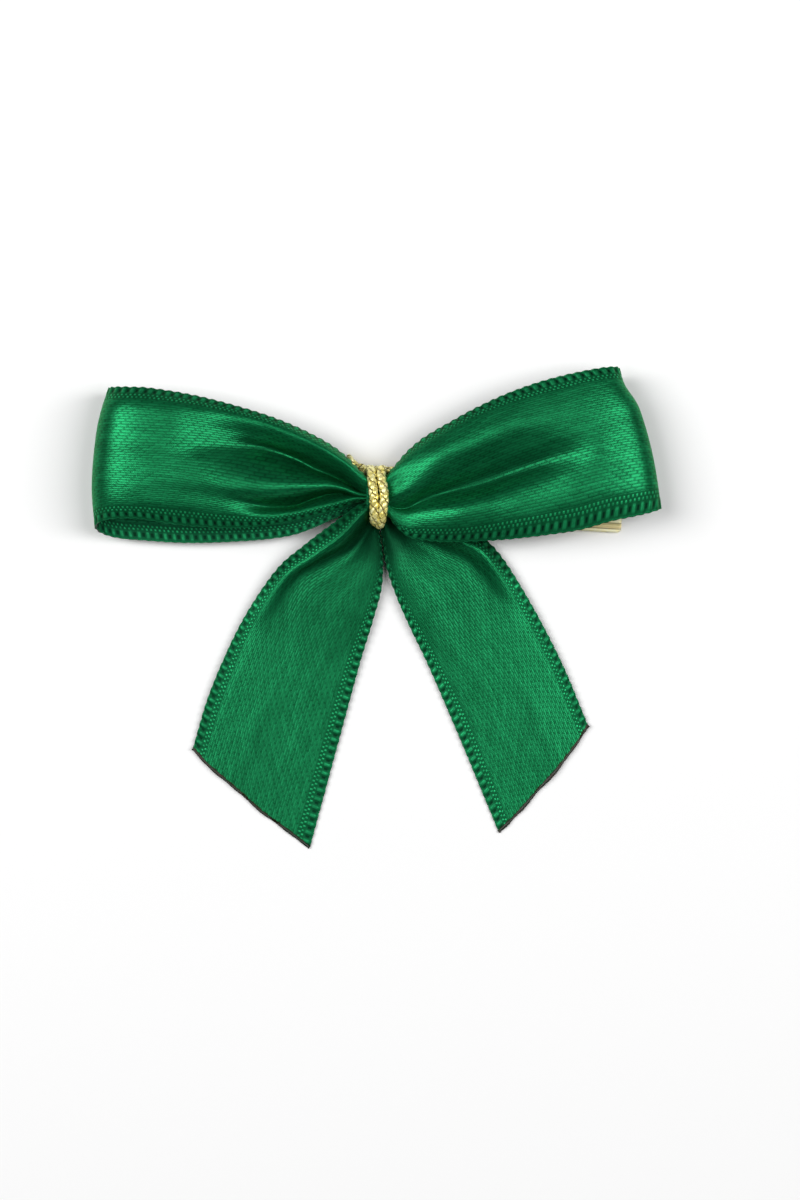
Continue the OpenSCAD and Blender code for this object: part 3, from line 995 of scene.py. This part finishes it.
# %% Bundle and sealed ends: materials
bundle_map = ribbon_bundle.data.uv_layers.new(name="ribbon")
bundle_cut_map = ribbon_bundle.data.uv_layers.new(name="cut")
for corner in ribbon_bundle.data.loops:
    place = ribbon_bundle.data.vertices[corner.vertex_index].co
    bundle_map.data[corner.index].uv = ((7.5 * MM + place.y) / uv_unit, place.x / uv_unit)
    bundle_cut_map.data[corner.index].uv = (0, 1)
ribbon_bundle.data.materials.append(ribbon_back)
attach(ribbon_bundle, "knot")
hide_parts("knot_gather")

melted, melted_tree, melted_shader = new_material("melted_ribbon")
char = noise(melted_tree, object_place(melted_tree), 1 / (0.5 * MM))
char_colour = blend_colours(melted_tree, ramp(melted_tree, char, 0.4, 0.62),
                            (0.006, 0.014, 0.006, 1), singed_brown)
set_finish(melted_tree, melted_shader, Base_Color=char_colour,
           Roughness=ramp(melted_tree, char, 0.3, 0.7, 0.35, 0.6))
for name, piece in sealed_ends.items():
    piece.data.materials.append(melted)
    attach(piece, f"tail_{name}")

# %% [markdown]
# ## The twist tie
# A twist tie is a soft wire between two narrow films, which are pressed together beside it. It
# bends at any place, and the model bends it at five hinges in each leg. So each layer of a leg is
# made in five lengths that meet halfway between two hinges.

# %% The tie's route
joint_places = {joint["name"]: np.array(joint["pos_m"]) for joint in frame["joints"]}
tie_half_width = 1.0 * MM
wire_offset = -0.3 * MM
film_thickness = 0.08 * MM
right_leg_bow = 0.06


def tie_route(side):
    """Corner points of one leg, from under the knot to its tip."""
    hinges = [joint_places[f"tie_{side}_{turn}"]
              for turn in ("wrap", "bend_2", "bend_3", "bend_4", "bend_5")]
    middle = np.array([0, 0, hinges[0][2]])
    return np.array([middle, *hinges, 2 * hinges[-1] - hinges[-2]])


def tie_places(side, start, end, count):
    """Places at even steps along a leg, and the direction across the strip."""
    corners = tie_route(side)
    lengths = path_lengths(corners)
    where = np.linspace(start, end, count)
    route = np.stack([np.interp(where, lengths, corners[:, i]) for i in range(3)], axis=1)
    across = unit(np.cross((0, 0, 1), corners[-1] - corners[0])) * (1 if side == "right" else -1)
    if side == "right":
        bow = -right_leg_bow * where * (lengths[-1] - where) / lengths[-1]
        route = route + across * bow[:, None]
    return where, route, across


# %% [markdown]
# The film's section is flat with one smooth ridge over the wire. The wire lies a little nearer to
# one edge, as it does where the strip was slit from a wider one. The last quarter of a millimetre
# narrows, which rounds the corners of the cut end.

# %% Film and wire pieces
ridge_height = 0.3 * MM
ridge_width = 0.2 * MM
corner_radius = 0.25 * MM
film_columns = np.array([-1, -0.8, -0.62, -0.54, -0.46, -0.38, -0.30, -0.22, -0.14, -0.06, 0.04, 0.2, 0.4,
                         0.6, 0.8, 1])
film_gap = 0.01 * MM
film_step = 0.25 * MM


def film_length(name, side, start, end, tip, face):
    """One length of film; face is 1 for the front and -1 for the back."""
    where, route, across = tie_places(side, start, end, max(4, round((end - start) / film_step)))
    columns = film_columns * tie_half_width
    ridge = ridge_height * np.exp(-((columns - wire_offset) / ridge_width) ** 2)
    rise = film_gap + film_thickness / 2 + ridge
    into_corner = np.clip(1 - (tip - where) / corner_radius, 0, 1)
    narrowing = corner_radius * (1 - np.sqrt(1 - into_corner**2))
    shape = bmesh.new()
    uv_map = shape.loops.layers.uv.new("thread")
    places = {}
    for vertex, column, row in laid_grid(shape, len(columns) - 1, len(where) - 1):
        offset = columns[column] * (1 - narrowing[row] / tie_half_width)
        vertex.co = route[row] + across * offset + np.array([0, 0, face * rise[column]])
        places[vertex] = (offset / uv_unit, where[row] / uv_unit)
    keep_places(shape.faces, uv_map, places)
    bmesh.ops.recalc_face_normals(shape, faces=shape.faces)
    if shape.faces[:][0].normal.z * face < 0:
        bmesh.ops.reverse_faces(shape, faces=shape.faces)
    piece = finished(name, shape)
    wall = piece.modifiers.new("thickness", "SOLIDIFY")
    wall.thickness = film_thickness
    wall.offset = 0
    return piece


wire_radius = 0.16 * MM
wire_short_of_tip = 0.02 * MM


def wire_length(name, side, start, end, tip):
    _, route, across = tie_places(side, start, min(end, tip - wire_short_of_tip), 14)
    return tube_piece(name, [route + across * wire_offset], wire_radius, around=12)


# %% [markdown]
# ## The tie's materials
# The film is pale gold plastic with a thin coating that has a soft shine, slightly creased by the
# rollers, and a deeper gold over the wire. Painted shade makes it browner in the two grooves beside
# the wire. The wire is plain soft steel.

# %% Tie materials
film_gold, film_tree, film_shader = new_material("film_gold")
crease = noise(film_tree, object_place(film_tree), 1 / (0.6 * MM), detail=4)
film_across, _ = flat_place(film_tree, "thread")
from_wire = maths(film_tree, "ABSOLUTE", maths(film_tree, "SUBTRACT", film_across, wire_offset / MM))
from_groove = maths(film_tree, "ABSOLUTE", maths(film_tree, "SUBTRACT", from_wire, 0.29))
flange = blend_colours(film_tree, ramp(film_tree, crease, 0.35, 0.65),
                       (1.0, 0.92, 0.52, 1), (1.0, 0.98, 0.68, 1))
film_colour = blend_colours(film_tree, ramp(film_tree, from_wire, 0.26, 0.16), flange,
                            (0.95, 0.80, 0.40, 1))
# Painted shade in the two grooves beside the wire.
film_colour = blend_colours(film_tree, ramp(film_tree, from_groove, 0.09, 0.02, 0, 0.75), film_colour,
                            (0.30, 0.19, 0.06, 1))
set_finish(film_tree, film_shader, Base_Color=film_colour, Metallic=0.12,
           Roughness=ramp(film_tree, crease, 0.3, 0.7, 0.36, 0.5))
add_relief(film_tree, film_shader, crease, 0.12, 0.04 * MM)

soft_steel, steel_tree, steel_shader = new_material("soft_steel")
marks = noise(steel_tree, object_place(steel_tree), 1 / (0.3 * MM))
set_finish(steel_tree, steel_shader, Metallic=1,
           Base_Color=blend_colours(steel_tree, marks, (0.35, 0.35, 0.34, 1), (0.62, 0.61, 0.59, 1)),
           Roughness=ramp(steel_tree, marks, 0.3, 0.7, 0.3, 0.5))
print("tie materials:", film_gold.name, soft_steel.name)

# %% The tie's lengths
for side in ("left", "right"):
    hinges = tie_route(side)
    at_hinge = path_lengths(hinges)
    halfway = (at_hinge[1:-2] + at_hinge[2:-1]) / 2
    limits = [0, *halfway, at_hinge[-1]]
    for n in range(1, 6):
        start, end = limits[n - 1], limits[n]
        front = film_length(f"tie_{side}_{n}_front_film", side, start, end, at_hinge[-1], 1)
        back = film_length(f"tie_{side}_{n}_back_film", side, start, end, at_hinge[-1], -1)
        core = wire_length(f"tie_{side}_{n}_core_wire", side, start, end, at_hinge[-1])
        for piece, layer, material in ((front, "foil_front", film_gold), (back, "foil_back", film_gold),
                                       (core, "wire", soft_steel)):
            piece.data.materials.append(material)
            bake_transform(piece)
            middle = [f"tie_middle_{layer}"] if n == 1 and side == "right" else []
            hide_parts(f"tie_{side}_{n}_{layer}", *middle)
print("tie leg:", round(at_hinge[-1] / MM, 1), "mm")

# %% [markdown]
# ## The floor and the light
# A plain pale floor, a tall soft light high on the left, another high on the right, and a pale
# surround that is darker overhead, so that level satin stays deep and tilted satin shines.

# %% Floor and lights
sides_strength = 0.8
overhead_strength = 0.26
floor_shape = bmesh.new()
bmesh.ops.create_grid(floor_shape, x_segments=1, y_segments=1, size=1.5)
floor = finished("floor", floor_shape)
floor_paint, floor_tree, floor_shader = new_material("floor_paint")
set_finish(floor_tree, floor_shader, Base_Color=(0.92, 0.92, 0.92, 1), Roughness=0.8,
           Specular_IOR_Level=0.1)
floor.data.materials.append(floor_paint)

surround = bpy.data.worlds.new("surround")
surround.use_nodes = True
sky_tree = surround.node_tree
direction = add(sky_tree, "ShaderNodeTexCoord").outputs["Generated"]
height_split = add(sky_tree, "ShaderNodeSeparateXYZ")
fill(sky_tree, height_split.inputs[0], direction)
fill(sky_tree, sky_tree.nodes["Background"].inputs["Strength"],
     ramp(sky_tree, height_split.outputs[2], 0.35, 0.95, sides_strength, overhead_strength))
bpy.context.scene.world = surround


def soft_light(name, place, aim, size, watts):
    light = bpy.data.lights.new(name, "AREA")
    light.shape = "RECTANGLE"
    light.size, light.size_y = size
    light.energy = watts
    lamp = bpy.data.objects.new(name, light)
    facing = (Vector(aim) - Vector(place)).to_track_quat("-Z", "Y").to_matrix().to_4x4()
    lamp.matrix_world = Matrix.Translation(place) @ facing
    bpy.context.scene.collection.objects.link(lamp)
    print(name, watts, "W")


soft_light("left_light", (-0.27, 0.06, 0.42), (0, -0.01, 0), (0.20, 0.40), 1.95)
soft_light("right_light", (0.27, 0.03, 0.42), (0, -0.01, 0), (0.20, 0.40), 1.70)
bpy.context.scene.view_settings.view_transform = "Standard"
